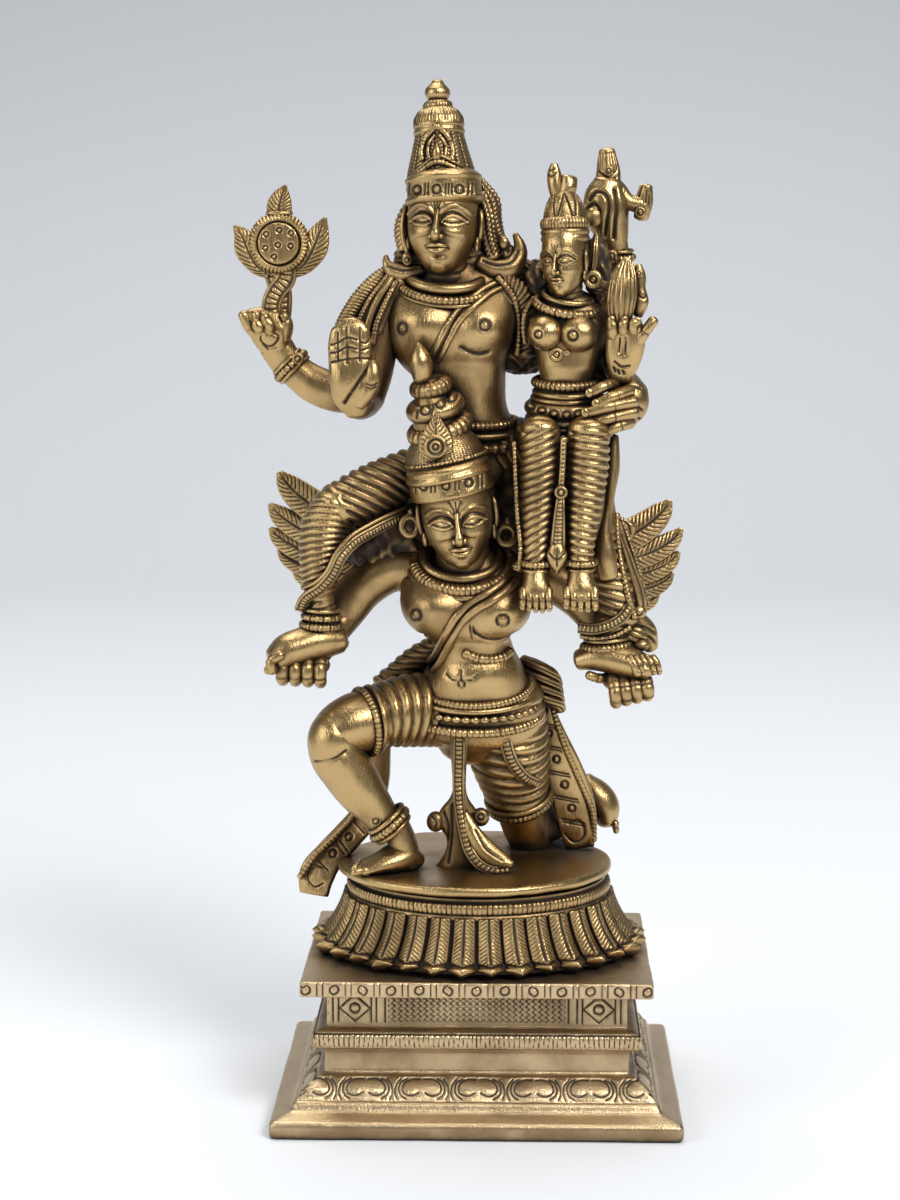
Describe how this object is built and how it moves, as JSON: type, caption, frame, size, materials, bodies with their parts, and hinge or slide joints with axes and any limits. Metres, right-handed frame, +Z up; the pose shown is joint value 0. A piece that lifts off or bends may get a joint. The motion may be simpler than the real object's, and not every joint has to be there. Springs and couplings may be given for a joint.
{
  "type": "vishnu on garuda statue",
  "caption": "Cast brass statue of a god and his consort on the shoulders of a kneeling winged bearer, on a stepped lotus plinth that stands it on a shelf.",
  "frame": {"origin": "middle of the plinth's underside", "axes": "+Z up to the crown, -Y towards the front, +X to the viewer's right"},
  "size_m": [0.089, 0.0656, 0.2025],
  "materials": {
    "figure_brass": "rubbed golden brown brass with dark brown patina in the recesses",
    "plinth_brass": "pale filed brass with dark patina in the carving"
  },
  "bodies": {
    "root": {"figure_group": "figure_brass", "lotus_plinth": "plinth_brass"}
  },
  "joints": []
}
